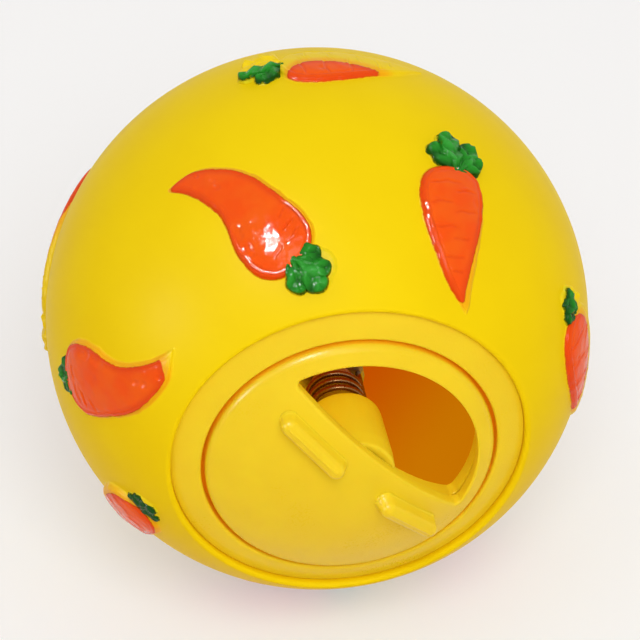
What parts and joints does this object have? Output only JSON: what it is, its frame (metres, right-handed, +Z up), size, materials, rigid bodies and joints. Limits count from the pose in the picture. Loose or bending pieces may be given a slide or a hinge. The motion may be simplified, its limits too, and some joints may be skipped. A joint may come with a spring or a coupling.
{
  "type": "treat dispensing ball",
  "caption": "Hollow ball with raised carrots all over and a turning dial in its mouth that opens or closes the way out for small treats.",
  "frame": {"origin": "centre of the ball", "axes": "-Y out of the ball along the dial's axis, +Z up as the ball lies in its rest pose"},
  "size_m": [0.0752, 0.0754, 0.0755],
  "materials": {
    "vinyl_yellow": "soft vinyl with a satin gloss",
    "hard_plastic_yellow": "hard plastic with a satin gloss",
    "carrot_orange": "glossy paint",
    "leaf_green": "glossy paint",
    "spring_steel": "bright drawn wire",
    "fastener_steel": "plated"
  },
  "bodies": {
    "ball": {"ball_shell": "vinyl_yellow", "insert": "hard_plastic_yellow", "carrot_01_root": "carrot_orange", "carrot_01_leaves": "leaf_green", "carrot_02_root": "carrot_orange", "carrot_02_leaves": "leaf_green", "carrot_03_root": "carrot_orange", "carrot_03_leaves": "leaf_green", "carrot_04_root": "carrot_orange", "carrot_04_leaves": "leaf_green", "carrot_05_root": "carrot_orange", "carrot_05_leaves": "leaf_green", "carrot_06_root": "carrot_orange", "carrot_06_leaves": "leaf_green", "carrot_07_root": "carrot_orange", "carrot_07_leaves": "leaf_green", "carrot_08_root": "carrot_orange", "carrot_08_leaves": "leaf_green", "carrot_09_root": "carrot_orange", "carrot_09_leaves": "leaf_green", "carrot_10_root": "carrot_orange", "carrot_10_leaves": "leaf_green", "carrot_11_root": "carrot_orange", "carrot_11_leaves": "leaf_green", "carrot_12_root": "carrot_orange", "carrot_12_leaves": "leaf_green", "carrot_13_root": "carrot_orange", "carrot_13_leaves": "leaf_green", "carrot_14_root": "carrot_orange", "carrot_14_leaves": "leaf_green", "carrot_15_root": "carrot_orange", "carrot_15_leaves": "leaf_green"},
    "dial": {"dial": "hard_plastic_yellow", "spring": "spring_steel", "washer": "fastener_steel", "screw": "fastener_steel"}
  },
  "joints": [
    {"name": "dial_turn", "type": "hinge", "parent": "ball", "child": "dial", "pos_m": [0, 0, 0], "axis": [0, -1, 0], "continuous": true}
  ]
}
